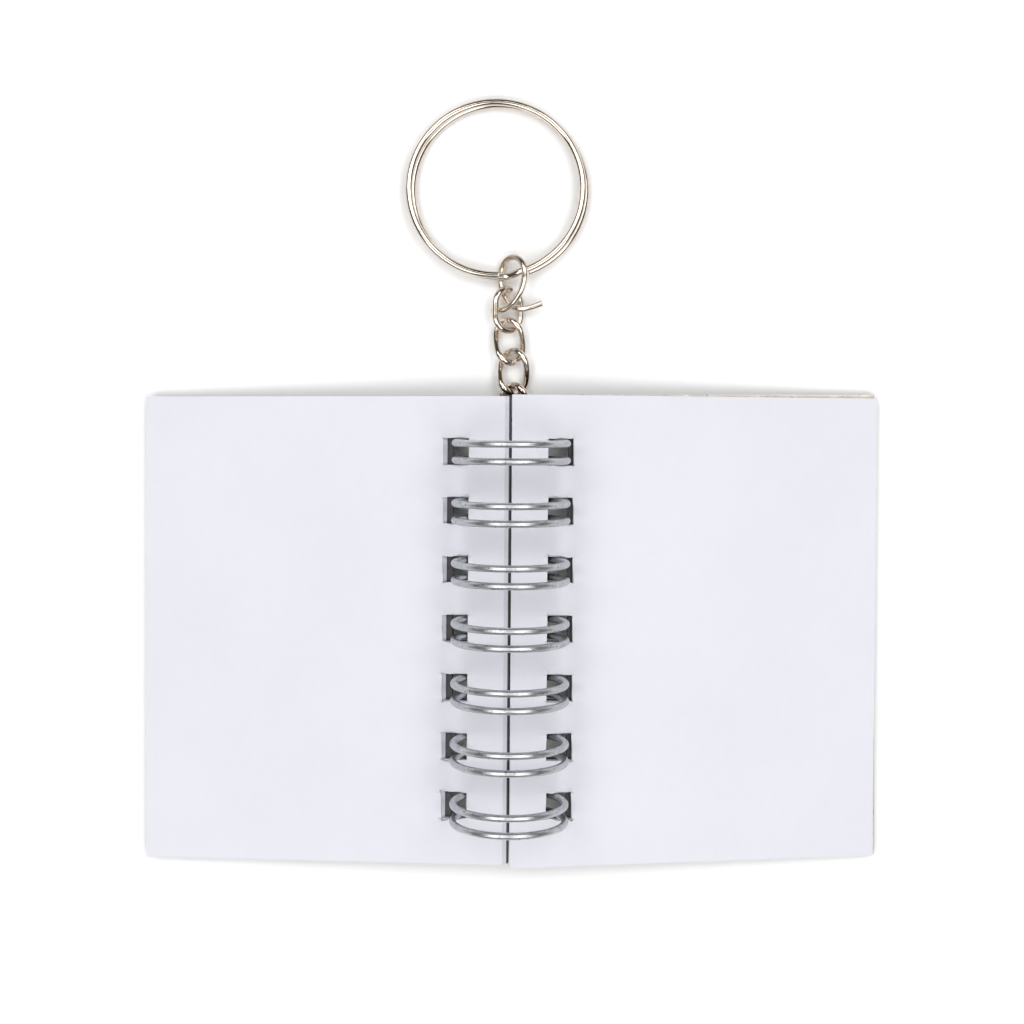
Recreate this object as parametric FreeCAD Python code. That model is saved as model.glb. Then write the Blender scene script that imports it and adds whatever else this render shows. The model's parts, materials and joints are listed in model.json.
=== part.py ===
"""Keyring notebook: a split ring, a jump ring and a short curb chain that end in
a pocket notebook with a twin-loop wire binding, lying open and flat.

Frame: millimetres, +Z up, +Y towards the split ring, +X to the right of the open book.
Everything is modelled with the binding's axis above the line x = 0 and the heads of
the sheets at y = 0, and then moved so that the origin is at the bottom centre of the
whole thing's bounding box.
"""
import FreeCAD
import Part
import math
import os
from FreeCAD import Vector

# ---------------------------------------------------------------- driving dimensions

# twin-loop binding, three loops to the inch
loop_pitch = 25.4 / 3
loop_radius = 7.9            # of the wire's centre line
loop_wire = 1.0              # wire diameter
loop_pair = 2.4              # between the two wires of one loop
table_gap = 1.2              # the loops hang this much above the table
hairpin_angle = -51.3        # where each pair of wires starts its hairpin
bridge_angle = -75.5         # where each wire starts its bend into the bridge
bridge_bend = 0.9            # bend radius into the bridges between loops

# sheets and covers
leaf_thickness = 0.10
leaf_gap = 0.01              # air between neighbours in a stack
front_leaf_count = 8         # on the left of the open book
back_leaf_count = 5          # on the right, above the backing board
board_thickness = 0.32
cover_thickness = 1.0
stack_depth = 3.5            # loop axis down to the top leaf's upper face

front_width = 52.4
back_width = 53.3
front_height = 67.2
back_height = 67.9
back_head = 0.25             # the right half stands this much above the left half's head
trim_lean = 0.4              # degrees: the sheets were punched this far out of square
top_leaf_lean = -0.2         # degrees: the right-hand leaves hang a little crooked
board_foot_rise = 0.67       # the right half's foot is trimmed on a slant
leaf_foot_rise = 1.2

# punched holes
hole_width = 3.7             # across the book
hole_play = 0.225            # along the binding, between a wire and its hole
hole_clearance = 0.1         # between a wire and the hole's spine side
first_hole = 8.0             # from the head to the middle of the first hole
last_hole = 4.0              # at least this much from the foot to the last hole
loop_shift = 0.12            # loops sit this much nearer the head than their holes
leaf_gutter = 0.681          # innermost leaf edge, out from the binding's axis
back_leaf_play = 0.281       # the right-hand leaves lie this far in on their wires
cover_gutter = 0.106         # between the two covers
gutter_shift = 0.064         # middle of that gap, right of the binding's axis

# chain of twisted curb links
link_wire = 1.0
link_half_length = 3.15      # of the centre line, end to end
link_half_width = 1.95
link_twist = 45.0            # degrees at each end, in opposite senses
link_gap = 0.12              # open butt joint
open_link_half_length = 3.0
open_link_half_width = 2.15
open_link_tilt = -31.0
open_link_gap = 0.9
link_2_yaw = 8.0

# connector ring from the chain to the first loop
connector_wire = 0.9
connector_radius = 2.3
connector_tilt = 40.0
connector_height = 1.95
connector_hook_gap = 0.27    # between the ring's far side and the wire that it hooks
connector_x = 0.35

# jump ring with crossed ends, and split ring
jump_wire = 0.92
split_wire = 1.1
split_radius = 12.68         # of the wire's centre line
split_coil_gap = 0.02
split_cut_angle = -87.4      # where the upper coil is cut
split_cross_start = -71.0    # where the upper coil starts to step down
split_cross_span = 15.5      # degrees over which it steps down
split_shift_x = 0.45         # the lower coil lies a little off the upper one
split_shift_y = -0.15
split_tilt = -2.2            # degrees: the chain end rests on the jump ring
split_height = 1.61          # middle of the coils at the ring's centre

# where the chain pieces lie, as the middle of each centre line
link_4_place = Vector(0.29, -1.5, 1.42)
link_3_place = Vector(0.23, 3.55, 1.40)
link_2_place = Vector(-0.40, 8.05, 1.42)
link_1_place = Vector(-0.60, 12.65, 1.65)
split_centre = Vector(-2.27, 30.25, split_height)

# the jump ring's bent wire, from one cut end to the other
jump_points = [
    Vector(-2.98, 12.43, 1.20),
    Vector(-1.02, 12.80, 1.90),
    Vector(0.58, 14.18, 2.90),
    Vector(1.60, 16.36, 3.65),
    Vector(1.67, 18.65, 3.78),
    Vector(0.87, 20.05, 3.00),
    Vector(-0.15, 20.35, 2.10),
    Vector(-1.16, 19.71, 1.10),
    Vector(-1.67, 18.25, 0.50),
    Vector(-1.67, 16.35, 0.50),
    Vector(-1.02, 14.45, 0.60),
    Vector(0.15, 13.15, 1.20),
    Vector(1.75, 12.85, 1.75),
    Vector(3.35, 13.25, 1.90),
    Vector(4.37, 13.65, 2.00),
]

# ---------------------------------------------------------------- derived sizes

LEFT = -1
RIGHT = 1
loop_axis_height = loop_radius + loop_wire / 2 + table_gap
loop_axis = Vector(0, 0, loop_axis_height)
leaf_step = leaf_thickness + leaf_gap
stack_bottom = stack_depth + front_leaf_count * leaf_step + leaf_gap
board_top = stack_depth + back_leaf_count * leaf_step
cover_bottom = stack_bottom + cover_thickness
hole_height = loop_pair + loop_wire + 2 * hole_play
punched_length = min(front_height, back_height - back_head) - first_hole - last_hole
loop_count = 1 + int(punched_length / loop_pitch)
hole_centres = [-first_hole - i * loop_pitch for i in range(loop_count)]
loop_centres = [y + loop_shift for y in hole_centres]
Y_AXIS = Vector(0, 1, 0)


# ---------------------------------------------------------------- wire shapes

def smooth_curve(points):
    """An edge along one spline through the points."""
    curve = Part.BSplineCurve()
    curve.interpolate(Points=points)
    return curve.toShape()


def arc(start, middle, end):
    return Part.Arc(start, middle, end).toShape()


def round_wire(edges, diameter):
    """A round bar swept along joined edges, as one solid."""
    path = Part.Wire(edges)
    first = edges[0]
    start = first.valueAt(first.FirstParameter)
    heading = first.tangentAt(first.FirstParameter)
    if first.Orientation == "Reversed":
        start = first.valueAt(first.LastParameter)
        heading = first.tangentAt(first.LastParameter).negative()
    section = Part.Wire(Part.Circle(start, heading, diameter / 2).toShape())
    solid = path.makePipeShell([section], True, False)
    if solid.Volume < 0:
        solid.reverse()
    return solid


def stadium_point(half_length, half_width, along):
    """A point on a long ring of two straight legs and two half circles.

    along is the distance from the middle of the right leg, anticlockwise."""
    straight = half_length - half_width
    bend = math.pi * half_width
    if along < straight:
        return half_width, along
    along -= straight
    if along < bend:
        turn = along / half_width
        return half_width * math.cos(turn), straight + half_width * math.sin(turn)
    along -= bend
    if along < 2 * straight:
        return -half_width, straight - along
    along -= 2 * straight
    if along < bend:
        turn = along / half_width
        return -half_width * math.cos(turn), -straight - half_width * math.sin(turn)
    return half_width, along - bend - straight


def chain_link(half_length, half_width, wire, gap, head_tilt, foot_tilt, gap_at, steps=30):
    """A ring of wire with an open joint, twisted evenly from foot to head.

    gap_at is the joint's middle, as a share of the way round from the right leg."""
    perimeter = 4 * (half_length - half_width) + 2 * math.pi * half_width
    opening = (gap + wire * 0.02) / perimeter
    points = []
    for i in range(steps + 1):
        share = gap_at + opening / 2 + (1 - opening) * i / steps
        x, y = stadium_point(half_length, half_width, share % 1 * perimeter)
        height_share = (y + half_length) / (2 * half_length)
        tilt = math.radians(foot_tilt + (head_tilt - foot_tilt) * height_share)
        points.append(Vector(x * math.cos(tilt), y, x * math.sin(tilt)))
    return round_wire([smooth_curve(points)], wire)


def placed(shape, place, yaw=0.0):
    """The shape turned about +Z and moved to its place."""
    copy = shape.copy()
    copy.rotate(Vector(0, 0, 0), Vector(0, 0, 1), yaw)
    copy.translate(place)
    return copy


def curb_link(gap_at=0.4):
    return chain_link(link_half_length, link_half_width, link_wire, link_gap,
                      link_twist, -link_twist, gap_at)


def opened_link():
    """The first link, sprung open where the jump ring goes through it."""
    return chain_link(open_link_half_length, open_link_half_width, link_wire,
                      open_link_gap, open_link_tilt, open_link_tilt, 0.19)


def connector_ring():
    """A small round ring that hooks the first loop's near wire."""
    ring = chain_link(connector_radius, connector_radius * 0.999, connector_wire,
                      link_gap, connector_tilt, connector_tilt, 0.5)
    hooked_wire = loop_centres[0] + loop_pair / 2
    past_loop = (loop_wire + connector_wire) / 2 + connector_hook_gap
    middle = hooked_wire - past_loop + connector_radius
    return placed(ring, Vector(connector_x, middle, connector_height))


def jump_ring():
    return round_wire([smooth_curve(jump_points)], jump_wire)


# ---------------------------------------------------------------- split ring

def split_point(angle, share):
    """A point of the coil; share runs from 0 on the upper turn to 1 on the lower."""
    coil_height = (split_wire + split_coil_gap) * (0.5 - share)
    turn = math.radians(angle)
    return Vector(split_radius * math.cos(turn) + split_shift_x * (share - 0.5),
                  split_radius * math.sin(turn) + split_shift_y * (share - 0.5),
                  coil_height)


def split_turn(first, last, share):
    middle = (first + last) / 2
    return arc(split_point(first, share), split_point(middle, share), split_point(last, share))


def tangent_arc(start, control, end):
    """The circular arc from start to end whose two end tangents meet at control."""
    chord_middle = (start + end) / 2
    weight = (end - start).Length / 2 / (control - start).Length
    middle = (chord_middle + control * weight) / (1 + weight)
    return arc(start, middle, end)


def split_step():
    """Two arcs that take the wire smoothly from the upper turn down to the lower."""
    start = split_point(split_cross_start, 0)
    end = split_point(split_cross_start - split_cross_span, 1)
    headings = []
    for angle in (split_cross_start, split_cross_start - split_cross_span):
        turn = math.radians(angle)
        headings.append(Vector(math.sin(turn), -math.cos(turn), 0))
    span = end - start
    along = span.dot(headings[0] + headings[1])
    spread = 2 * (1 - headings[0].dot(headings[1]))
    reach = (math.sqrt(along ** 2 + spread * span.dot(span)) - along) / spread
    first_control = start + headings[0] * reach
    second_control = end - headings[1] * reach
    middle = (first_control + second_control) / 2
    return [tangent_arc(start, first_control, middle), tangent_arc(middle, second_control, end)]


def split_ring():
    """Two turns of one springy wire, wound clockwise from the upper cut end."""
    upper = split_turn(split_cut_angle, split_cross_start - 360, 0)
    lower_start = split_cross_start - split_cross_span
    lower = split_turn(lower_start, split_cross_start - 360 + 1, 1)
    ring = round_wire([upper] + split_step() + [lower], split_wire)
    ring.rotate(Vector(0, 0, 0), Vector(1, 0, 0), split_tilt)
    ring.translate(split_centre)
    return ring


# ---------------------------------------------------------------- binding wire

def loop_point(angle, y):
    turn = math.radians(angle)
    return loop_axis + Vector(loop_radius * math.cos(turn), y, loop_radius * math.sin(turn))


def loop_heading(angle):
    """Direction of increasing angle round the loop."""
    turn = math.radians(angle)
    return Vector(-math.sin(turn), 0, math.cos(turn))


def loop_arc(start_angle, end_angle, y):
    middle = (start_angle + end_angle) / 2
    return arc(loop_point(start_angle, y), loop_point(middle, y), loop_point(end_angle, y))


def hairpin(y):
    """The half turn that joins a loop's two wires, starting at height y along the axis."""
    radius = loop_pair / 2
    start = loop_point(hairpin_angle, y)
    ahead = loop_heading(hairpin_angle).negative()
    middle = start + ahead * radius - Y_AXIS * radius
    return arc(start, middle, start - Y_AXIS * loop_pair)


def bridge(y):
    """Two quarter bends and a straight run from one loop to the next."""
    run = loop_pitch - loop_pair
    start = loop_point(bridge_angle, y)
    ahead = loop_heading(bridge_angle)
    slant = math.sqrt(0.5) * bridge_bend
    level = start + ahead * bridge_bend
    bend_middle = start + ahead * slant - Y_AXIS * (bridge_bend - slant)
    out_middle = start + ahead * slant - Y_AXIS * (run - bridge_bend + slant)
    run_start = level - Y_AXIS * bridge_bend
    run_end = level - Y_AXIS * (run - bridge_bend)
    return [
        arc(start, bend_middle, run_start),
        Part.LineSegment(run_start, run_end).toShape(),
        arc(run_end, out_middle, start - Y_AXIS * run),
    ]


def binding_wire():
    """One wire bent into a comb of twin loops, then rolled shut."""
    edges = []
    for i, y in enumerate(loop_centres):
        near = y + loop_pair / 2
        far = y - loop_pair / 2
        edges.append(loop_arc(bridge_angle + 360, hairpin_angle, near))
        edges.append(hairpin(near))
        edges.append(loop_arc(hairpin_angle, bridge_angle + 360, far))
        if i < loop_count - 1:
            edges.extend(bridge(far))
    return round_wire(edges, loop_wire)


# ---------------------------------------------------------------- sheets and covers

def wire_start(depth):
    """How far out from the axis a hole may start, for a sheet whose lower face is
    this deep below the axis: the wire's inner side there, less the clearance."""
    reach = math.sqrt(loop_radius ** 2 - depth ** 2)
    return reach - loop_wire / 2 * loop_radius / reach - hole_clearance


def stack_slope(reach):
    """Slope of a half of the book whose cover's outer edge rests on the table."""
    span = math.hypot(cover_bottom, reach)
    return math.asin(loop_axis_height / span) - math.atan2(cover_bottom, reach)


def cover_seat(width, half_gutter):
    """Spine edge and slope of a cover whose lower spine corner is at half_gutter.

    Each follows from the other, so they are worked out in turn until they settle."""
    spine = half_gutter
    for _ in range(20):
        slope = stack_slope(spine + width)
        spine = (half_gutter + cover_bottom * math.sin(slope)) / math.cos(slope)
    return spine, slope


front_spine, front_slope = cover_seat(front_width, cover_gutter / 2 - gutter_shift)
back_spine, back_slope = cover_seat(back_width, cover_gutter / 2 + gutter_shift)
front_cover_margin = wire_start(cover_bottom) - front_spine
back_cover_margin = wire_start(cover_bottom) - back_spine
front_bottom = stack_bottom - leaf_gap - leaf_gap
board_bottom = board_top + board_thickness
leaf_margin = wire_start(max(front_bottom, board_bottom)) - leaf_gutter
back_hole_start = wire_start(board_bottom) - back_leaf_play


def punched_sheet(side, depth, thickness, hole_start, margin, lean, foot_rise):
    """A sheet with its row of holes.

    It is drawn flat, with x outwards from the foot of the perpendicular from the
    binding's axis, then tipped down by its half's slope and hung below the axis."""
    width, height, head, slope = (front_width, front_height, 0.0, front_slope)
    if side == RIGHT:
        width, height, head, slope = (back_width, back_height, back_head, back_slope)
    spine = hole_start - margin
    lean_rate = math.tan(math.radians(lean))
    outer_shift = side * height / 2 * lean_rate
    outer_lift = side * width * lean_rate
    foot = head - height
    corners = [
        Vector(spine, head, 0),
        Vector(spine, foot, 0),
        Vector(spine + width + outer_shift, foot + outer_lift + foot_rise, 0),
        Vector(spine + width - outer_shift, head + outer_lift, 0),
    ]
    outline = Part.Face(Part.makePolygon(corners + corners[:1]))
    if outline.normalAt(0, 0).z < 0:
        outline.reverse()
    sheet = outline.extrude(Vector(0, 0, thickness))
    tool_height = thickness * 3
    holes = []
    for y in hole_centres:
        corner = Vector(hole_start, y - hole_height / 2, -thickness)
        holes.append(Part.makeBox(hole_width, hole_height, tool_height, corner))
    sheet = sheet.cut(Part.makeCompound(holes))
    sheet.translate(Vector(0, 0, -depth - thickness))
    sheet.rotate(Vector(0, 0, 0), Y_AXIS, math.degrees(slope))
    if side == LEFT:
        sheet = sheet.mirror(Vector(0, 0, 0), Vector(1, 0, 0))
    sheet.translate(loop_axis)
    return sheet.Solids[0]


def front_leaf(index):
    depth = stack_depth + index * leaf_step
    start = wire_start(depth + leaf_thickness)
    return punched_sheet(LEFT, depth, leaf_thickness, start, leaf_margin, trim_lean, 0.0)


def back_leaf(index):
    depth = stack_depth + index * leaf_step
    return punched_sheet(RIGHT, depth, leaf_thickness, back_hole_start, leaf_margin,
                         top_leaf_lean, leaf_foot_rise)


def backing_board():
    return punched_sheet(RIGHT, board_top, board_thickness, back_hole_start, leaf_margin,
                         trim_lean, board_foot_rise)


def front_cover():
    return punched_sheet(LEFT, stack_bottom, cover_thickness, wire_start(cover_bottom),
                         front_cover_margin, trim_lean, 0.0)


def back_cover():
    return punched_sheet(RIGHT, stack_bottom, cover_thickness, wire_start(cover_bottom),
                         back_cover_margin, trim_lean, board_foot_rise)


# ---------------------------------------------------------------- all the pieces

def build():
    """Every piece by name, in the modelling frame."""
    pieces = {
        "split_ring": split_ring(),
        "jump_ring": jump_ring(),
        "chain_link_1": placed(opened_link(), link_1_place),
        "chain_link_2": placed(curb_link(0.72), link_2_place, link_2_yaw),
        "chain_link_3": placed(curb_link(0.3), link_3_place),
        "chain_link_4": placed(curb_link(0.3), link_4_place),
        "connector_ring": connector_ring(),
        "binding_wire": binding_wire(),
        "front_cover": front_cover(),
        "back_cover": back_cover(),
        "backing_board": backing_board(),
    }
    for i in range(front_leaf_count):
        pieces["front_leaf_%d" % (i + 1)] = front_leaf(i)
    for i in range(back_leaf_count):
        pieces["back_leaf_%d" % (i + 1)] = back_leaf(i)
    return pieces


def row_origin(pieces):
    """Bottom centre of the box round all the pieces."""
    box = FreeCAD.BoundBox()
    for shape in pieces.values():
        box.add(shape.optimalBoundingBox(False))
    return Vector((box.XMin + box.XMax) / 2, (box.YMin + box.YMax) / 2, box.ZMin)


def main():
    os.makedirs("parts", exist_ok=True)
    pieces = build()
    origin = row_origin(pieces)
    for name, shape in pieces.items():
        shape.translate(origin.negative())
        shape.exportStep("parts/%s.step" % name)
    return pieces, origin


if __name__ == "__main__":
    main()
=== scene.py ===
import json
import math

import bpy
import numpy as np
from bpy.props import (FloatProperty, FloatVectorProperty, IntProperty,
                       PointerProperty)
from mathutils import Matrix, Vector


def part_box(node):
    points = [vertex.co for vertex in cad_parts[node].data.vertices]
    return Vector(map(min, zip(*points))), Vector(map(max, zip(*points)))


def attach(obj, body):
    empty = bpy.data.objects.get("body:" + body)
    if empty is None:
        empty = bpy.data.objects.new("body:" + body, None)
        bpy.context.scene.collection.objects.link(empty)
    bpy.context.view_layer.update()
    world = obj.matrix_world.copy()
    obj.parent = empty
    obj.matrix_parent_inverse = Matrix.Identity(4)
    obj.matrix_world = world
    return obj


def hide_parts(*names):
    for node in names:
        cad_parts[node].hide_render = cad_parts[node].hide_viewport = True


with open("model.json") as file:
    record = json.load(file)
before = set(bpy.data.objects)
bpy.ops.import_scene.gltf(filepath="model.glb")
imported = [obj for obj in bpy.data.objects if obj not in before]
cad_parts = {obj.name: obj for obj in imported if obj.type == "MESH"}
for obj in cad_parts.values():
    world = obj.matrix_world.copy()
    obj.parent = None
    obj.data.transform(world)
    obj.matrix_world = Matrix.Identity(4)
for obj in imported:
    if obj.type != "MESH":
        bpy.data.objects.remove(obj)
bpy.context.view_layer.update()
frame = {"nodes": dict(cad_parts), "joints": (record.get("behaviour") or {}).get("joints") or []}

bl_info = {
    "name": "Keyring notebook",
    "version": (1, 0, 0),
    "blender": (4, 5, 0),
    "location": "3D View > Sidebar > Keyring",
    "description": "Split ring, curb chain and an open wire-bound pocket notebook",
    "category": "Object",
}

MM = 0.001
LEFT = -1
RIGHT = 1


# ---------------------------------------------------------------- places from the frame

def joint_place(name):
    """A joint's position at rest, in metres."""
    place = [joint["pos_m"] for joint in frame["joints"] if joint["name"] == name]
    return np.array(place[0], float)


HINGE_LINE = joint_place("front_cover_hinge")
HEAD_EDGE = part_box("front_leaf_1")[1].y


def seated(points, axis_height):
    """Points drawn from the head edge, the binding's axis and the table, put in place."""
    shift = np.array([HINGE_LINE[0], HEAD_EDGE, HINGE_LINE[2] - axis_height])
    return np.asarray(points, float) + shift


# ---------------------------------------------------------------- settings

def size(name, millimetres, description):
    return FloatProperty(name=name, description=description, default=millimetres * MM,
                         unit="LENGTH", precision=5)


def tint(name, colour, description):
    return FloatVectorProperty(name=name, description=description, default=colour,
                               subtype="COLOR", size=3, min=0.0, max=1.0)


class BindingSettings(bpy.types.PropertyGroup):
    """Twin-loop wire binding."""
    count: IntProperty(name="Loops", description="How many twin loops", default=7)
    pitch: size("Pitch", 25.4 / 3, "From one loop to the next")
    radius: size("Radius", 7.9, "Of the wire's centre line")
    wire: size("Wire", 1.0, "Diameter of the wire")
    pair: size("Pair", 2.4, "Between the two wires of a loop")
    axis_height: size("Axis height", 9.6, "Of the loops' axis above the table")
    first: size("First loop", -7.88, "Middle of the first loop, from the head edge")
    hairpin: FloatProperty(name="Hairpin", description="Where each pair starts its hairpin",
                           default=math.radians(-51.3), subtype="ANGLE")
    bridge: FloatProperty(name="Bridge", description="Where each wire bends into its bridge",
                          default=math.radians(-75.5), subtype="ANGLE")
    bend: size("Bend", 0.9, "Bend radius into the bridges")
    colour: tint("Steel", (0.53, 0.545, 0.56), "Satin steel of the loops")


class ChainSettings(bpy.types.PropertyGroup):
    """Curb chain, connector ring and jump ring."""
    wire: size("Wire", 1.0, "Diameter of the links' wire")
    half_length: size("Half length", 3.15, "Of a link's centre line")
    half_width: size("Half width", 1.95, "Of a link's centre line")
    twist: FloatProperty(name="Twist", description="Tilt of each end of a link",
                         default=math.radians(45), subtype="ANGLE")
    joint_gap: size("Joint gap", 0.12, "Open butt joint of a link")
    open_half_length: size("Open link half length", 3.0, "Of the link that was sprung open")
    open_half_width: size("Open link half width", 2.15, "Of the link that was sprung open")
    open_gap: size("Open link gap", 0.9, "Of the link that was sprung open")
    open_tilt: FloatProperty(name="Open link tilt", description="Of the link sprung open",
                             default=math.radians(-31), subtype="ANGLE")
    connector_wire: size("Connector wire", 0.9, "Diameter of the connector ring's wire")
    connector_radius: size("Connector radius", 2.3, "Of its centre line")
    connector_tilt: FloatProperty(name="Connector tilt", description="Of the connector ring",
                                  default=math.radians(40), subtype="ANGLE")
    jump_wire: size("Jump ring wire", 0.92, "Diameter of the jump ring's wire")


class SplitRingSettings(bpy.types.PropertyGroup):
    """Split ring of two turns."""
    wire: size("Wire", 1.1, "Diameter of the wire")
    radius: size("Radius", 12.68, "Of the wire's centre line")
    coil_gap: size("Coil gap", 0.02, "Air between the two turns")
    shift_x: size("Shift X", 0.45, "Of the lower turn against the upper")
    shift_y: size("Shift Y", -0.15, "Of the lower turn against the upper")
    cut: FloatProperty(name="Cut", description="Where the upper turn is cut",
                       default=math.radians(-87.4), subtype="ANGLE")
    step_start: FloatProperty(name="Step", description="Where the upper turn steps down",
                              default=math.radians(-71.0), subtype="ANGLE")
    step_span: FloatProperty(name="Step span", description="Length of the step down",
                             default=math.radians(15.5), subtype="ANGLE")
    tilt: FloatProperty(name="Tilt", description="The chain's end is raised",
                        default=math.radians(-2.2), subtype="ANGLE")
    colour: tint("Nickel", (0.74, 0.655, 0.565), "Polished nickel plate")


class BookSettings(bpy.types.PropertyGroup):
    """Leaves, covers and their punched holes."""
    leaf: size("Leaf", 0.10, "Thickness of a leaf")
    gap: size("Gap", 0.01, "Air between leaves")
    depth: size("Depth", 3.5, "Loop axis to the top leaf's face")
    cover: size("Cover", 1.0, "Thickness of a cover")
    stack: size("Stack", 4.39, "Loop axis to a cover's upper face")
    front_width: size("Left width", 52.4, "Of a left-hand leaf")
    back_width: size("Right width", 53.3, "Of a right-hand leaf")
    front_height: size("Left height", 67.2, "Of a left-hand leaf")
    back_height: size("Right height", 67.9, "Of a right-hand leaf")
    back_head: size("Right head", 0.25, "The right half stands this much higher")
    front_lean: FloatProperty(name="Left lean", description="Out of square with the holes",
                              default=math.radians(0.4), subtype="ANGLE")
    back_lean: FloatProperty(name="Right lean", description="Out of square with the holes",
                             default=math.radians(-0.2), subtype="ANGLE")
    foot_rise: size("Foot rise", 1.2, "Slant of the right-hand leaf's foot")
    first_hole: size("First hole", -8.0, "Middle of the first hole, from the head edge")
    hole_width: size("Hole width", 3.7, "Across the book")
    hole_height: size("Hole height", 3.85, "Along the binding")
    clearance: size("Clearance", 0.1, "Between a wire and its hole's spine side")
    margin: size("Margin", 5.2, "Spine edge to the holes")
    front_cover_margin: size("Left cover margin", 4.57, "Spine edge to the holes")
    back_cover_margin: size("Right cover margin", 4.45, "Spine edge to the holes")
    back_hole: size("Right holes", 5.6, "Axis to the right-hand leaves' holes")
    lip: size("Lip", 0.34, "How far the torn paper stands up at a hole's edge")
    tear: size("Tear", 0.30, "How ragged a hole's edge is")
    paper: tint("Paper", (0.743, 0.743, 0.803), "Uncoated drawing paper")
    board: tint("Board", (0.72, 0.65, 0.57), "Recycled backing board")
    cover_colour: tint("Covers", (0.030, 0.027, 0.031), "Dark covering")


class StageSettings(bpy.types.PropertyGroup):
    """Camera, lights and floor."""
    focal: FloatProperty(name="Focal length", description="Of the camera, in millimetres",
                         default=52.875)
    height: size("Camera height", 221.5, "Above the table")
    aim_x: size("Aim X", -0.22, "Optical axis, from the binding's axis")
    aim_y: size("Aim Y", -2.85, "Optical axis, from the head edge")
    roll: FloatProperty(name="Roll", description="Of the camera",
                        default=math.radians(0.4), subtype="ANGLE")
    shift_x: FloatProperty(name="Shift X", description="Of the camera", default=0.002)
    shift_y: FloatProperty(name="Shift Y", description="Of the camera", default=-0.09375)
    floor: tint("Floor", (1.0, 1.0, 1.0), "Pale table")


class KeyringSettings(bpy.types.PropertyGroup):
    """All the settings of the keyring notebook."""
    binding: PointerProperty(type=BindingSettings)
    chain: PointerProperty(type=ChainSettings)
    split_ring: PointerProperty(type=SplitRingSettings)
    book: PointerProperty(type=BookSettings)
    stage: PointerProperty(type=StageSettings)


# ---------------------------------------------------------------- mesh helpers

def mesh_object(name, vertices, quads, caps=(), smooth=True):
    """A mesh object at the origin from arrays of vertices and faces."""
    mesh = bpy.data.meshes.new(name)
    faces = quads.tolist() + [list(cap) for cap in caps]
    mesh.from_pydata(vertices.tolist(), [], faces)
    flags = np.zeros(len(faces), bool)
    flags[:len(quads)] = smooth
    mesh.polygons.foreach_set("use_smooth", flags)
    mesh.update()
    piece = bpy.data.objects.new(name, mesh)
    bpy.context.scene.collection.objects.link(piece)
    return piece


def unit(vectors):
    return vectors / np.linalg.norm(vectors, axis=-1, keepdims=True)


def round_bar(name, path, diameter, upright, sides=24, chamfer=0.12):
    """A round bar along a path with chamfered cut ends.

    Surface: P(t, a) = C(t) + r(t) (cos a S(t) + sin a U(t)), where C is the path, S is
    the heading crossed with the upright direction, U is S crossed with the heading, and
    r is the wire's radius, smaller by the chamfer at the two ends."""
    radius = diameter / 2
    bevel = radius * chamfer
    heading = unit(np.gradient(path, axis=0))
    side = unit(np.cross(heading, upright))
    up = np.cross(side, heading)
    path = np.concatenate([path[:1], path[:1] + heading[:1] * bevel, path[1:-1],
                           path[-1:] - heading[-1:] * bevel, path[-1:]])
    side = np.concatenate([side[:1], side, side[-1:]])
    up = np.concatenate([up[:1], up, up[-1:]])
    reach = np.full(len(path), radius)
    reach[[0, -1]] = radius - bevel
    angle = np.linspace(0, 2 * np.pi, sides, endpoint=False)[None, :, None]
    spokes = np.cos(angle) * side[:, None] + np.sin(angle) * up[:, None]
    vertices = (path[:, None] + reach[:, None, None] * spokes).reshape(-1, 3)
    ring = np.arange(len(path) - 1)[:, None] * sides
    near = np.arange(sides)[None, :]
    far = (near + 1) % sides
    quads = np.stack([ring + near, ring + sides + near, ring + sides + far, ring + far],
                     axis=-1).reshape(-1, 4)
    caps = (range(sides), range(len(vertices) - 1, len(vertices) - 1 - sides, -1))
    return mesh_object(name, vertices, quads, caps)


def turned(points, axis, angle):
    """Points turned about a line through the origin, by Rodrigues' formula."""
    axis = unit(np.asarray(axis, float))
    return (points * math.cos(angle) + np.cross(axis, points) * math.sin(angle)
            + np.outer(points @ axis, axis) * (1 - math.cos(angle)))


def smooth_line(points, count):
    """A natural cubic spline through the points, evenly spaced along its chords.

    Each span is a cubic whose second derivatives M solve the usual tridiagonal system,
    with M = 0 at both ends."""
    points = np.asarray(points, float)
    chord = np.linalg.norm(np.diff(points, axis=0), axis=1)
    knots = np.concatenate([[0], np.cumsum(chord)])
    total = len(points)
    system = np.eye(total)
    right = np.zeros((total, 3))
    inner = np.arange(1, total - 1)
    system[inner, inner - 1] = chord[:-1]
    system[inner, inner] = 2 * (chord[:-1] + chord[1:])
    system[inner, inner + 1] = chord[1:]
    slope = np.diff(points, axis=0) / chord[:, None]
    right[1:-1] = 6 * np.diff(slope, axis=0)
    bend = np.linalg.solve(system, right)
    t = np.linspace(0, knots[-1], count)
    span = np.clip(np.searchsorted(knots, t, side="right") - 1, 0, total - 2)
    h = chord[span][:, None]
    a = (knots[span + 1] - t)[:, None] / h
    b = (t - knots[span])[:, None] / h
    return (a * points[span] + b * points[span + 1]
            + ((a ** 3 - a) * bend[span] + (b ** 3 - b) * bend[span + 1]) * h ** 2 / 6)


# ---------------------------------------------------------------- finishes

class Signal:
    """A shader socket that can stand in Python expressions on numbers."""

    def __init__(self, finish, socket):
        self.finish = finish
        self.socket = socket

    def combine(self, operation, first, second):
        node = self.finish.add("ShaderNodeMath", {"operation": operation},
                               {0: first, 1: second})
        return Signal(self.finish, node.outputs[0])

    def __add__(self, other):
        return self.combine("ADD", self, other)

    def __radd__(self, other):
        return self.combine("ADD", other, self)

    def __mul__(self, other):
        return self.combine("MULTIPLY", self, other)

    def __rmul__(self, other):
        return self.combine("MULTIPLY", other, self)


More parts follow.
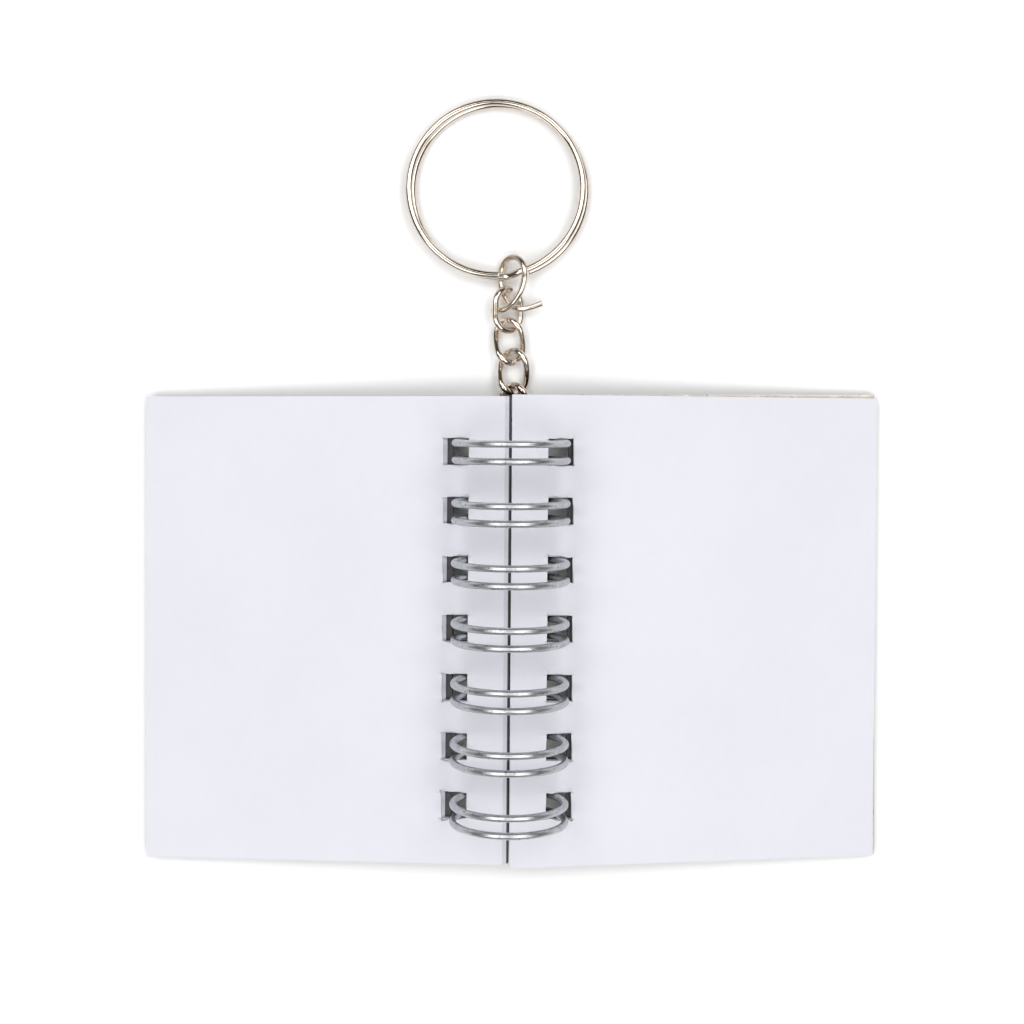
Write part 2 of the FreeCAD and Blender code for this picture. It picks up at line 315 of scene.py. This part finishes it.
class Finish:
    """A procedural material on object coordinates, with a Principled shader."""

    def __init__(self, name):
        self.material = bpy.data.materials.new(name)
        self.material.use_nodes = True
        self.tree = self.material.node_tree
        self.shader = self.tree.nodes["Principled BSDF"]
        place = self.add("ShaderNodeTexCoord")
        self.place = place.outputs["Object"]

    def add(self, kind, settings=None, inputs=None):
        """A node of that type, with its settings first and then its sockets' values or links."""
        node = self.tree.nodes.new(kind)
        for key, value in (settings or {}).items():
            if key == "stops":
                self.set_stops(node, value)
            else:
                setattr(node, key, value)
        for key, value in (inputs or {}).items():
            self.feed(node.inputs[key], value)
        return node

    def feed(self, socket, value):
        if isinstance(value, Signal):
            value = value.socket
        if isinstance(value, bpy.types.NodeSocket):
            self.tree.links.new(value, socket)
        else:
            socket.default_value = value

    def set_stops(self, node, stops):
        ramp = node.color_ramp
        while len(ramp.elements) < len(stops):
            ramp.elements.new(0.5)
        for element, (position, colour) in zip(ramp.elements, stops):
            element.position = position
            element.color = colour

    def grain(self, scale, detail=3.0, roughness=0.55, stretch=None):
        """A noise value from 0 to 1 whose grains are about 1/scale metres across."""
        place = self.place
        if stretch:
            place = self.add("ShaderNodeMapping", None,
                             {"Vector": place, "Scale": stretch}).outputs[0]
        node = self.add("ShaderNodeTexNoise", None,
                        {"Vector": place, "Scale": scale, "Detail": detail,
                         "Roughness": roughness})
        return Signal(self, node.outputs[0])

    def ramp(self, value, stops):
        node = self.add("ShaderNodeValToRGB", {"stops": stops}, {"Fac": value})
        return Signal(self, node.outputs["Color"])

    def multiplied(self, first, second):
        """Two colours multiplied."""
        node = self.add("ShaderNodeMix", {"data_type": "RGBA", "blend_type": "MULTIPLY"},
                        {0: 1.0, 6: first, 7: second})
        return Signal(self, node.outputs[2])

    def relief(self, height, depth, strength):
        node = self.add("ShaderNodeBump", None,
                        {"Height": height, "Distance": depth, "Strength": strength})
        return Signal(self, node.outputs[0])

    def finish(self, **inputs):
        for key, value in inputs.items():
            self.feed(self.shader.inputs[key.replace("_", " ")], value)
        return self.material


def rgba(colour, factor=1.0):
    return tuple(min(1.0, c * factor) for c in colour) + (1.0,)


def grey(value):
    return (value, value, value, 1.0)


def polished_nickel(colour):
    """Bright nickel plate, faintly warm, with hairline handling marks and dull spots."""
    finish = Finish("polished_nickel")
    cloud = finish.grain(420, 3)
    marks = finish.grain(1800, 2, stretch=(1.0, 1.0, 4.0))
    warm = finish.ramp(cloud, [(0.35, rgba(colour, 0.90)), (0.65, rgba(colour, 1.06))])
    dull = cloud * 0.10 + marks * 0.07 + 0.03
    return finish.finish(Base_Color=warm, Metallic=1.0, Roughness=dull,
                         Normal=finish.relief(marks, 0.00002, 0.35))


def satin_steel(colour):
    """Drawn steel wire with a satin coat, fine lengthwise streaks and small dark specks."""
    finish = Finish("satin_steel")
    streaks = finish.grain(900, 4, stretch=(1.0, 3.5, 1.0))
    fine = finish.grain(5200, 2)
    specks = finish.ramp(finish.grain(2600, 1), [(0.28, grey(0.45)), (0.36, grey(1.0))])
    body = finish.ramp(streaks, [(0.3, rgba(colour, 0.82)), (0.7, rgba(colour, 1.14))])
    return finish.finish(Base_Color=finish.multiplied(body, specks), Metallic=1.0,
                         Roughness=streaks * 0.14 + fine * 0.06 + 0.22,
                         Normal=finish.relief(fine, 0.00003, 0.4))


def drawing_paper(colour):
    """Uncoated white paper: soft clouding, matted fibres and a fine tooth."""
    finish = Finish("drawing_paper")
    cloud = finish.grain(55, 4)
    fibre = finish.grain(900, 5, 0.7, stretch=(1.0, 0.45, 1.0))
    tooth = finish.grain(3600, 3, 0.7)
    clouded = finish.ramp(cloud * 0.7 + fibre * 0.3,
                          [(0.36, rgba(colour, 0.975)), (0.64, rgba(colour, 1.01))])
    height = fibre * 0.6 + tooth * 0.4
    return finish.finish(Base_Color=clouded, Roughness=tooth * 0.1 + 0.78,
                         Normal=finish.relief(height, 0.00003, 0.5))


def recycled_board(colour):
    """Warm grey board of recycled fibre, with lighter and darker flecks."""
    finish = Finish("recycled_board")
    cloud = finish.grain(260, 4)
    body = finish.ramp(cloud, [(0.35, rgba(colour, 0.88)), (0.65, rgba(colour, 1.10))])
    flecks = finish.ramp(finish.grain(1500, 2),
                         [(0.30, grey(0.55)), (0.40, grey(1.0)), (0.62, grey(1.0)),
                          (0.72, grey(1.25))])
    return finish.finish(Base_Color=finish.multiplied(body, flecks),
                         Roughness=cloud * 0.1 + 0.82,
                         Normal=finish.relief(cloud, 0.00005, 0.5))


def dark_covering(colour):
    """Near-black covering paper with a faint leathery tooth and rubbed high spots."""
    finish = Finish("dark_covering")
    tooth = finish.grain(1400, 3)
    rub = finish.grain(180, 4)
    body = finish.ramp(rub * 0.6 + tooth * 0.4,
                       [(0.36, rgba(colour, 0.75)), (0.66, rgba(colour, 1.9))])
    return finish.finish(Base_Color=body, Roughness=rub * 0.15 + 0.52,
                         Normal=finish.relief(tooth, 0.00006, 0.5))


def pale_table(colour):
    """Matt white table top."""
    finish = Finish("pale_table")
    cloud = finish.grain(30, 2)
    body = finish.ramp(cloud, [(0.3, rgba(colour, 0.99)), (0.7, rgba(colour, 1.0))])
    return finish.finish(Base_Color=body, Roughness=cloud * 0.1 + 0.85)


MATERIALS = {}


def coat(piece, maker, colour):
    """Gives the piece the finish made by that function, which is made once."""
    if maker not in MATERIALS:
        MATERIALS[maker] = maker(tuple(colour))
    piece.data.materials.clear()
    piece.data.materials.append(MATERIALS[maker])


def install(piece, body, node):
    """The piece rides on its body and stands for its plain node."""
    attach(piece, body)
    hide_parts(node)


# ---------------------------------------------------------------- chain shapes

def stadium(half_length, half_width, share):
    """Points of a flat long ring: two straight legs and two half circles.

    share runs from 0 to 1 anticlockwise from the middle of the right leg."""
    straight = half_length - half_width
    bend = math.pi * half_width
    along = (share % 1.0) * (4 * straight + 2 * bend)
    upper = (along - straight) / half_width
    lower = (along - 3 * straight - bend) / half_width
    regions = [along < straight, along < straight + bend, along < 3 * straight + bend,
               along < 3 * straight + 2 * bend]
    x = np.select(regions, [np.full_like(along, half_width), half_width * np.cos(upper),
                            np.full_like(along, -half_width), -half_width * np.cos(lower)],
                  half_width)
    y = np.select(regions, [along, straight + half_width * np.sin(upper),
                            2 * straight + bend - along, -straight - half_width * np.sin(lower)],
                  along - 4 * straight - 2 * bend)
    return x, y


def link_path(half_length, half_width, wire, gap, head_tilt, foot_tilt, gap_at, count=150):
    """Centre line of an open ring twisted evenly from foot to head, and its upright."""
    perimeter = 4 * (half_length - half_width) + 2 * math.pi * half_width
    opening = (gap + wire * 0.02) / perimeter
    share = gap_at + opening / 2 + (1 - opening) * np.linspace(0, 1, count)
    x, y = stadium(half_length, half_width, share)
    tilt = foot_tilt + (head_tilt - foot_tilt) * (y + half_length) / (2 * half_length)
    path = np.stack([x * np.cos(tilt), y, x * np.sin(tilt)], axis=-1)
    upright = np.stack([-np.sin(tilt), np.zeros(count), np.cos(tilt)], axis=-1)
    return path, upright


# each link's middle in millimetres, its yaw in degrees, and where round it its joint is
LINK_PLACES = {
    "chain_link_4": ((0.29, -1.5, 1.42), 0.0, 0.3),
    "chain_link_3": ((0.23, 3.55, 1.40), 0.0, 0.3),
    "chain_link_2": ((-0.40, 8.05, 1.42), 8.0, 0.72),
}
OPEN_LINK_PLACE = (-0.60, 12.65, 1.65)
CONNECTOR_PLACE = (0.35, -5.60, 1.95)
SPLIT_CENTRE = (-2.27, 30.25, 1.61)
# the jump ring's bent wire in millimetres, from one cut end to the other
JUMP_POINTS = [
    (-2.98, 12.43, 1.20), (-1.02, 12.80, 1.90), (0.58, 14.18, 2.90), (1.60, 16.36, 3.65),
    (1.67, 18.65, 3.78), (0.87, 20.05, 3.00), (-0.15, 20.35, 2.10), (-1.16, 19.71, 1.10),
    (-1.67, 18.25, 0.50), (-1.67, 16.35, 0.50), (-1.02, 14.45, 0.60), (0.15, 13.15, 1.20),
    (1.75, 12.85, 1.75), (3.35, 13.25, 1.90), (4.37, 13.65, 2.00),
]


class KEYRING_OT_chain(bpy.types.Operator):
    """Makes the curb links and the connector ring"""
    bl_idname = "keyring.chain"
    bl_label = "Curb chain"

    def execute(self, context):
        settings = context.scene.keyring
        chain = settings.chain
        nickel = settings.split_ring.colour
        height = settings.binding.axis_height
        for name, (place, yaw, gap_at) in LINK_PLACES.items():
            path, upright = link_path(chain.half_length, chain.half_width, chain.wire,
                                      chain.joint_gap, chain.twist, -chain.twist, gap_at)
            path = turned(path, (0, 0, 1), math.radians(yaw)) + np.array(place) * MM
            upright = turned(upright, (0, 0, 1), math.radians(yaw))
            self.make(name, seated(path, height), upright, chain.wire, nickel)
        path, upright = link_path(chain.open_half_length, chain.open_half_width, chain.wire,
                                  chain.open_gap, chain.open_tilt, chain.open_tilt, 0.19)
        path = path + np.array(OPEN_LINK_PLACE) * MM
        self.make("chain_link_1", seated(path, height), upright, chain.wire, nickel)
        path, upright = link_path(chain.connector_radius, chain.connector_radius * 0.999,
                                  chain.connector_wire, chain.joint_gap,
                                  chain.connector_tilt, chain.connector_tilt, 0.5)
        path = path + np.array(CONNECTOR_PLACE) * MM
        self.make("connector_ring", seated(path, height), upright, chain.connector_wire, nickel)
        return {"FINISHED"}

    def make(self, name, path, upright, wire, nickel):
        piece = round_bar("bright_" + name, path, wire, upright)
        coat(piece, polished_nickel, nickel)
        install(piece, name, name)


class KEYRING_OT_jump_ring(bpy.types.Operator):
    """Makes the jump ring with its crossed, cut ends"""
    bl_idname = "keyring.jump_ring"
    bl_label = "Jump ring"

    def execute(self, context):
        settings = context.scene.keyring
        path = seated(smooth_line(np.array(JUMP_POINTS) * MM, 260), settings.binding.axis_height)
        piece = round_bar("bright_jump_ring", path, settings.chain.jump_wire, (0, 0, 1))
        coat(piece, polished_nickel, settings.split_ring.colour)
        install(piece, "jump_ring", "jump_ring")
        return {"FINISHED"}


class KEYRING_OT_split_ring(bpy.types.Operator):
    """Winds the split ring: an upper turn, a short step down and a lower turn"""
    bl_idname = "keyring.split_ring"
    bl_label = "Split ring"

    def execute(self, context):
        settings = context.scene.keyring
        ring = settings.split_ring
        path = self.coil(ring)
        path = turned(path, (1, 0, 0), ring.tilt) + np.array(SPLIT_CENTRE) * MM
        upright = turned(np.array([[0.0, 0.0, 1.0]]), (1, 0, 0), ring.tilt)[0]
        path = seated(path, settings.binding.axis_height)
        piece = round_bar("bright_split_ring", path, ring.wire, upright, sides=28)
        coat(piece, polished_nickel, ring.colour)
        install(piece, "split_ring", "split_ring")
        return {"FINISHED"}

    def coil(self, ring):
        """The centre line: angle runs clockwise from the upper cut end through two turns.

        P = (R cos a + dx (e - 1/2), R sin a + dy (e - 1/2), h (1/2 - e)), where e eases
        from 0 to 1 over the step as 3u^2 - 2u^3 and h is the wire plus the coil gap."""
        step = ring.step_start - 2 * math.pi
        last = step - 2 * math.pi + math.radians(1)
        angle = np.linspace(ring.cut, last, 780)
        u = np.clip((step - angle) / ring.step_span, 0, 1)
        ease = 3 * u ** 2 - 2 * u ** 3
        return np.stack([ring.radius * np.cos(angle) + ring.shift_x * (ease - 0.5),
                         ring.radius * np.sin(angle) + ring.shift_y * (ease - 0.5),
                         (ring.wire + ring.coil_gap) * (0.5 - ease)], axis=-1)


# ---------------------------------------------------------------- binding

class KEYRING_OT_binding(bpy.types.Operator):
    """Bends the one long wire of the twin-loop binding"""
    bl_idname = "keyring.binding"
    bl_label = "Twin-loop binding"

    def execute(self, context):
        binding = context.scene.keyring.binding
        path, upright = self.wire_path(binding)
        piece = round_bar("satin_binding_wire", seated(path, binding.axis_height), binding.wire,
                          upright, sides=22)
        coat(piece, satin_steel, binding.colour)
        install(piece, "binding", "binding_wire")
        return {"FINISHED"}

    def wire_path(self, binding):
        """Centre line of the comb rolled shut: circular arcs down and up each loop, a half
        circle at each hairpin, and quarter circles with a straight run at each bridge.

        The upright of the bar's section points away from the loops' axis."""
        axis = np.array([0, 0, binding.axis_height])
        stretches = []
        whole = np.linspace(binding.bridge + 2 * math.pi, binding.hairpin, 120)
        for i in range(binding.count):
            near = binding.first - i * binding.pitch + binding.pair / 2
            far = near - binding.pair
            stretches.append(self.arc(binding, whole, near))
            stretches.append(self.hairpin(binding, near))
            stretches.append(self.arc(binding, whole[::-1], far))
            if i < binding.count - 1:
                stretches.append(self.bridge(binding, far))
        path = np.concatenate(stretches)
        upright = path * (1, 0, 1)
        return path + axis, unit(upright)

    def arc(self, binding, angles, y):
        return np.stack([binding.radius * np.cos(angles), np.full(len(angles), y),
                         binding.radius * np.sin(angles)], axis=-1)

    def heading(self, angle):
        return np.array([-math.sin(angle), 0, math.cos(angle)])

    def hairpin(self, binding, y):
        """A half circle in the plane that touches the loop where the hairpin starts."""
        turn = np.linspace(0, np.pi, 22)[1:-1, None]
        start = self.arc(binding, np.array([binding.hairpin]), y)
        half = binding.pair / 2
        ahead = -self.heading(binding.hairpin) * half
        across = np.array([0, half, 0])
        return start - across + np.sin(turn) * ahead + np.cos(turn) * across

    def bridge(self, binding, y):
        """Two quarter circles joined by a straight run, in the plane that touches the loop."""
        run = binding.pitch - binding.pair
        turn = np.linspace(0, np.pi / 2, 10)[1:, None]
        start = self.arc(binding, np.array([binding.bridge]), y)
        ahead = self.heading(binding.bridge) * binding.bend
        across = np.array([0, binding.bend, 0])
        into = start - across + np.sin(turn) * ahead + np.cos(turn) * across
        out = 2 * start - np.array([0, run, 0]) - into
        out = out + 2 * (into - start) * np.array([1, 0, 1])
        return np.concatenate([into, out[::-1]])


# ---------------------------------------------------------------- leaves and covers

SHARP_EDGE = math.radians(50)
COARSE_CELL = 1.6 * MM                # grid of a leaf away from its holes
FINE_CELL_ACROSS = 0.12 * MM          # and at its holes, across the book
FINE_CELL_ALONG = 0.14 * MM           # and along the binding


def wire_start(book, binding, depth):
    """How far out a hole may start, for a sheet whose lower face is this deep."""
    reach = math.sqrt(binding.radius ** 2 - depth ** 2)
    return reach - binding.wire / 2 * binding.radius / reach - book.clearance


def half_slope(book, binding, side):
    """Slope of a half of the book whose cover's outer edge rests on the table."""
    bottom = book.stack + book.cover
    margin, width = book.front_cover_margin, book.front_width
    if side == RIGHT:
        margin, width = book.back_cover_margin, book.back_width
    reach = wire_start(book, binding, bottom) - margin + width
    return (math.asin(binding.axis_height / math.hypot(bottom, reach))
            - math.atan2(bottom, reach))


def grid_lines(start, stop, coarse, fine, holes):
    """Rising grid lines, fine near the holes' edges and coarse elsewhere."""
    lines = [np.linspace(start, stop, max(2, int((stop - start) / coarse)))]
    for low, high in holes:
        count = int(round((high - low) / fine))
        lines.append(np.linspace(low, high, count + 1))
        pad = np.geomspace(fine, fine * 14, 9)
        lines.append(low - np.cumsum(pad) * 0.5)
        lines.append(high + np.cumsum(pad) * 0.5)
    lines = np.unique(np.concatenate(lines))
    lines = lines[(lines >= start) & (lines <= stop)]
    keep_edges = np.array([edge for hole in holes for edge in hole] + [start, stop])
    fixed = np.isclose(lines[:, None], keep_edges[None, :], atol=1e-9).any(axis=1)
    gap_before = np.diff(lines, prepend=lines[0] - 1)
    near_fixed = np.abs(lines[:, None] - keep_edges[None, :]).min(axis=1) < fine * 0.45
    keep = fixed | ((gap_before > fine * 0.4) & ~near_fixed)
    return lines[keep]


def ripple(x, y, seed):
    """A smooth repeatable roughness from -1 to 1: a sum of crossed sines."""
    total = np.zeros(np.broadcast(x, y).shape)
    for k in range(1, 6):
        rate = 900.0 * k ** 0.8
        phase = seed * 1.7 + k * 2.3
        total = total + np.sin(x * rate + phase) * np.cos(y * rate * 0.83 + phase * 1.9) / k
    return total / 1.6


class KEYRING_OT_leaves(bpy.types.Operator):
    """Makes the two top leaves with the ragged rims of their punched holes"""
    bl_idname = "keyring.leaves"
    bl_label = "Top leaves"

    def execute(self, context):
        settings = context.scene.keyring
        self.make(settings, LEFT, "front_leaf", "front_leaf_1", "paper_front_leaf")
        self.make(settings, RIGHT, "back_leaf", "back_leaf_1", "paper_back_leaf")
        for node, piece in frame["nodes"].items():
            if "leaf" in node:
                coat(piece, drawing_paper, settings.book.paper)
        return {"FINISHED"}

    def make(self, settings, side, body, node, name):
        book, binding = settings.book, settings.binding
        width, height, head = book.front_width, book.front_height, 0.0
        start, lean, rise = wire_start(book, binding, book.depth + book.leaf), book.front_lean, 0.0
        if side == RIGHT:
            width, height, head = book.back_width, book.back_height, book.back_head
            start, lean, rise = book.back_hole, book.back_lean, book.foot_rise
        vertices, quads = self.sheet(book, binding, side, width, height, head, start, lean, rise)
        slope = half_slope(book, binding, side)
        vertices = turned(vertices, (0, 1, 0), slope)
        if side == LEFT:
            vertices[:, 0] *= -1
            quads = quads[:, ::-1]
        vertices = vertices + np.array([0, 0, binding.axis_height])
        piece = mesh_object(name, seated(vertices, binding.axis_height), quads, smooth=True)
        coat(piece, drawing_paper, book.paper)
        piece.data.set_sharp_from_angle(angle=SHARP_EDGE)
        install(piece, body, node)

    def sheet(self, book, binding, side, width, height, head, start, lean, rise):
        """A sheet on a grid of lines, with the cells inside the holes left out.

        Upper face: z = -depth + lip(s, y); lower face the same less the thickness; walls
        join them along every free edge. The outer part leans by the lean angle."""
        spine = start - book.margin
        foot = head - height
        centres = book.first_hole - np.arange(binding.count) * binding.pitch
        half = book.hole_height / 2
        s_lines = grid_lines(spine, spine + width, COARSE_CELL, FINE_CELL_ACROSS,
                             [(start, start + book.hole_width)])
        y_lines = grid_lines(foot, head, COARSE_CELL, FINE_CELL_ALONG,
                             [(y - half, y + half) for y in centres[::-1]])
        s, y = np.meshgrid(s_lines, y_lines, indexing="ij")
        lip, drag_s, drag_y = self.rim(book, s, y, start, centres, side)
        rate = math.tan(lean)
        out = np.interp(s, [start + book.hole_width + 1 * MM, spine + width], [0, 1])
        to_head = np.interp(y, [centres[0] + half + 1 * MM, head], [0, 1])
        to_foot = np.interp(y, [foot, centres[-1] - half - 1 * MM], [1, 0])
        middle = head - height / 2
        along = (s - spine) / width
        lift = side * width * along * rate
        placed_s = s - out * side * (y - middle) * rate + drag_s
        placed_y = y + to_head * lift + to_foot * (lift + rise * along) + drag_y
        level = -book.depth + lip
        upper = np.stack([placed_s, placed_y, level], axis=-1)
        lower = upper - np.array([0, 0, book.leaf])
        return self.closed_sheet(upper, lower, self.open_cells(book, s_lines, y_lines, start,
                                                               centres))

    def rim(self, book, s, y, start, centres, side):
        """Lift and sideways drag of the paper round the holes.

        The lip stands up along each hole's head and foot edge and dies away as a bell
        curve, on a wide soft rise round the whole hole. The lip's height and the ragged
        edge follow a sum of sines."""
        half_s, half_y = book.hole_width / 2, book.hole_height / 2
        middle = start + half_s
        nearest = centres[np.abs(y[..., None] - centres).argmin(axis=-1)]
        off_s = np.maximum(np.abs(s - middle) - half_s, 0)
        off_y = np.maximum(np.abs(y - nearest) - half_y, 0)
        ends = np.exp(-(off_y / (0.42 * MM)) ** 2) * np.exp(-(off_s / (0.5 * MM)) ** 2)
        on_end = np.clip((np.abs(y - nearest) - half_y * 0.93) / (0.07 * half_y), 0, 1)
        rough = ripple(s, nearest * 3.1 + off_y * 0.4, side * 2.0)
        lip = book.lip * ends * on_end * (0.55 + 0.45 * rough)
        soft = np.exp(-((off_s ** 2 + off_y ** 2) / (1.6 * MM) ** 2)) * 0.06 * MM
        edge = np.exp(-(off_y / (0.16 * MM)) ** 2) * np.exp(-(off_s / (0.1 * MM)) ** 2)
        drag_y = book.tear * edge * on_end * np.sign(y - nearest) * (0.35 + rough) * 0.8
        side_edge = np.exp(-(off_s / (0.14 * MM)) ** 2) * (off_y <= 0)
        jag = ripple(s * 0.2, y, side * 3.0 + 1.0)
        drag_s = book.tear * 0.35 * side_edge * np.sign(s - middle) * jag
        return lip + soft, drag_s, drag_y

    def open_cells(self, book, s_lines, y_lines, start, centres):
        """True for each grid cell that is paper."""
        s_mid = (s_lines[1:] + s_lines[:-1]) / 2
        y_mid = (y_lines[1:] + y_lines[:-1]) / 2
        in_s = (s_mid > start) & (s_mid < start + book.hole_width)
        in_y = (np.abs(y_mid[:, None] - centres) < book.hole_height / 2).any(axis=1)
        return ~(in_s[:, None] & in_y[None, :])

    def closed_sheet(self, upper, lower, paper):
        """Quads of both faces and of the walls along every free edge, outwards."""
        rows, columns = upper.shape[:2]
        index = np.arange(rows * columns).reshape(rows, columns)
        a, b = index[:-1, :-1][paper], index[1:, :-1][paper]
        c, d = index[1:, 1:][paper], index[:-1, 1:][paper]
        top = np.stack([a, b, c, d], axis=-1)
        count = rows * columns
        edges = np.concatenate([top[:, [i, (i + 1) % 4]] for i in range(4)])
        forward = edges[:, 0] * count + edges[:, 1]
        backward = edges[:, 1] * count + edges[:, 0]
        free = edges[~np.isin(forward, backward)]
        walls = np.stack([free[:, 0], free[:, 0] + count, free[:, 1] + count, free[:, 1]],
                         axis=-1)
        quads = np.concatenate([top, top[:, ::-1] + count, walls])
        vertices = np.concatenate([upper.reshape(-1, 3), lower.reshape(-1, 3)])
        used = np.unique(quads)
        renumber = np.zeros(len(vertices), int)
        renumber[used] = np.arange(len(used))
        return vertices[used], renumber[quads]


class KEYRING_OT_covers(bpy.types.Operator):
    """Finishes the covers and the backing board"""
    bl_idname = "keyring.covers"
    bl_label = "Covers and board"

    def execute(self, context):
        book = context.scene.keyring.book
        coat(frame["nodes"]["front_cover"], dark_covering, book.cover_colour)
        coat(frame["nodes"]["back_cover"], dark_covering, book.cover_colour)
        coat(frame["nodes"]["backing_board"], recycled_board, book.board)
        return {"FINISHED"}


# ---------------------------------------------------------------- stage

LAMP_REACH = 0.34                     # metres
LAMP_HEIGHT = 0.80
LAMP_WIDTH = 0.55
LAMP_WATTS = 2.95
WORLD_STRENGTH = 1.30
WORLD_SHADES = [(0.00, 0.55), (0.10, 0.45), (0.30, 0.12), (0.60, 0.04), (1.00, 0.03)]
SENSOR_WIDTH = 36.0                   # millimetres


def soft_light(name, place, width, watts):
    """A square area light aimed at the middle of the object."""
    light = bpy.data.lights.new(name, "AREA")
    light.size = width
    light.energy = watts
    lamp = bpy.data.objects.new(name, light)
    lamp.location = place
    lamp.rotation_euler = (-Vector(place)).to_track_quat("-Z", "Y").to_euler()
    bpy.context.scene.collection.objects.link(lamp)


class KEYRING_OT_stage(bpy.types.Operator):
    """Sets the table, the lights and the camera"""
    bl_idname = "keyring.stage"
    bl_label = "Stage"

    def execute(self, context):
        scene = context.scene
        settings = scene.keyring
        stage = settings.stage
        self.table(stage)
        self.world(scene)
        self.lights()
        self.camera(scene, settings)
        scene.view_settings.view_transform = "Standard"
        return {"FINISHED"}

    def table(self, stage):
        half = 1.5
        corners = np.array([(-half, -half, 0), (half, -half, 0), (half, half, 0),
                            (-half, half, 0)], float)
        floor = mesh_object("table_top", corners, np.array([[0, 1, 2, 3]]), smooth=False)
        coat(floor, pale_table, stage.floor)

    def world(self, scene):
        """Bright near the horizon and dark overhead, for contrast in the plated wire."""
        world = bpy.data.worlds.new("studio")
        world.use_nodes = True
        nodes = world.node_tree.nodes
        links = world.node_tree.links
        background = nodes["Background"]
        place = nodes.new("ShaderNodeTexCoord")
        split = nodes.new("ShaderNodeSeparateXYZ")
        ramp = nodes.new("ShaderNodeValToRGB")
        links.new(place.outputs["Generated"], split.inputs[0])
        links.new(split.outputs["Z"], ramp.inputs["Fac"])
        links.new(ramp.outputs["Color"], background.inputs["Color"])
        stops = ramp.color_ramp.elements
        while len(stops) < len(WORLD_SHADES):
            stops.new(0.5)
        for stop, (height, shade) in zip(stops, WORLD_SHADES):
            stop.position = height
            stop.color = grey(shade)
        background.inputs["Strength"].default_value = WORLD_STRENGTH
        scene.world = world

    def lights(self):
        """Four soft boxes high on the diagonals."""
        for i, (x, y) in enumerate(((-1, 1), (1, 1), (1, -1), (-1, -1))):
            place = (LAMP_REACH * x, LAMP_REACH * y, LAMP_HEIGHT)
            soft_light("soft_box_%d" % (i + 1), place, LAMP_WIDTH, LAMP_WATTS)

    def camera(self, scene, settings):
        stage = settings.stage
        data = bpy.data.cameras.new("above")
        data.lens = stage.focal
        data.sensor_width = SENSOR_WIDTH
        data.shift_x = stage.shift_x
        data.shift_y = stage.shift_y
        data.clip_start = 0.01
        camera = bpy.data.objects.new("above", data)
        place = seated(np.array([[stage.aim_x, stage.aim_y, stage.height]]),
                       settings.binding.axis_height)[0]
        camera.location = place
        camera.rotation_euler = (0, 0, stage.roll)
        scene.collection.objects.link(camera)
        scene.camera = camera


# ---------------------------------------------------------------- add-on

OPERATORS = (KEYRING_OT_split_ring, KEYRING_OT_jump_ring, KEYRING_OT_chain,
             KEYRING_OT_binding, KEYRING_OT_leaves, KEYRING_OT_covers, KEYRING_OT_stage)


class KEYRING_PT_panel(bpy.types.Panel):
    """Buttons for the keyring's pieces"""
    bl_idname = "KEYRING_PT_panel"
    bl_label = "Keyring notebook"
    bl_space_type = "VIEW_3D"
    bl_region_type = "UI"
    bl_category = "Keyring"

    def draw(self, context):
        for operator in OPERATORS:
            self.layout.operator(operator.bl_idname)


CLASSES = (BindingSettings, ChainSettings, SplitRingSettings, BookSettings, StageSettings,
           KeyringSettings) + OPERATORS + (KEYRING_PT_panel,)


def register():
    for item in CLASSES:
        bpy.utils.register_class(item)
    bpy.types.Scene.keyring = PointerProperty(type=KeyringSettings)


def unregister():
    del bpy.types.Scene.keyring
    for item in reversed(CLASSES):
        bpy.utils.unregister_class(item)


def main():
    register()
    for operator in OPERATORS:
        group, name = operator.bl_idname.split(".")
        getattr(getattr(bpy.ops, group), name)()


if __name__ == "__main__":
    main()
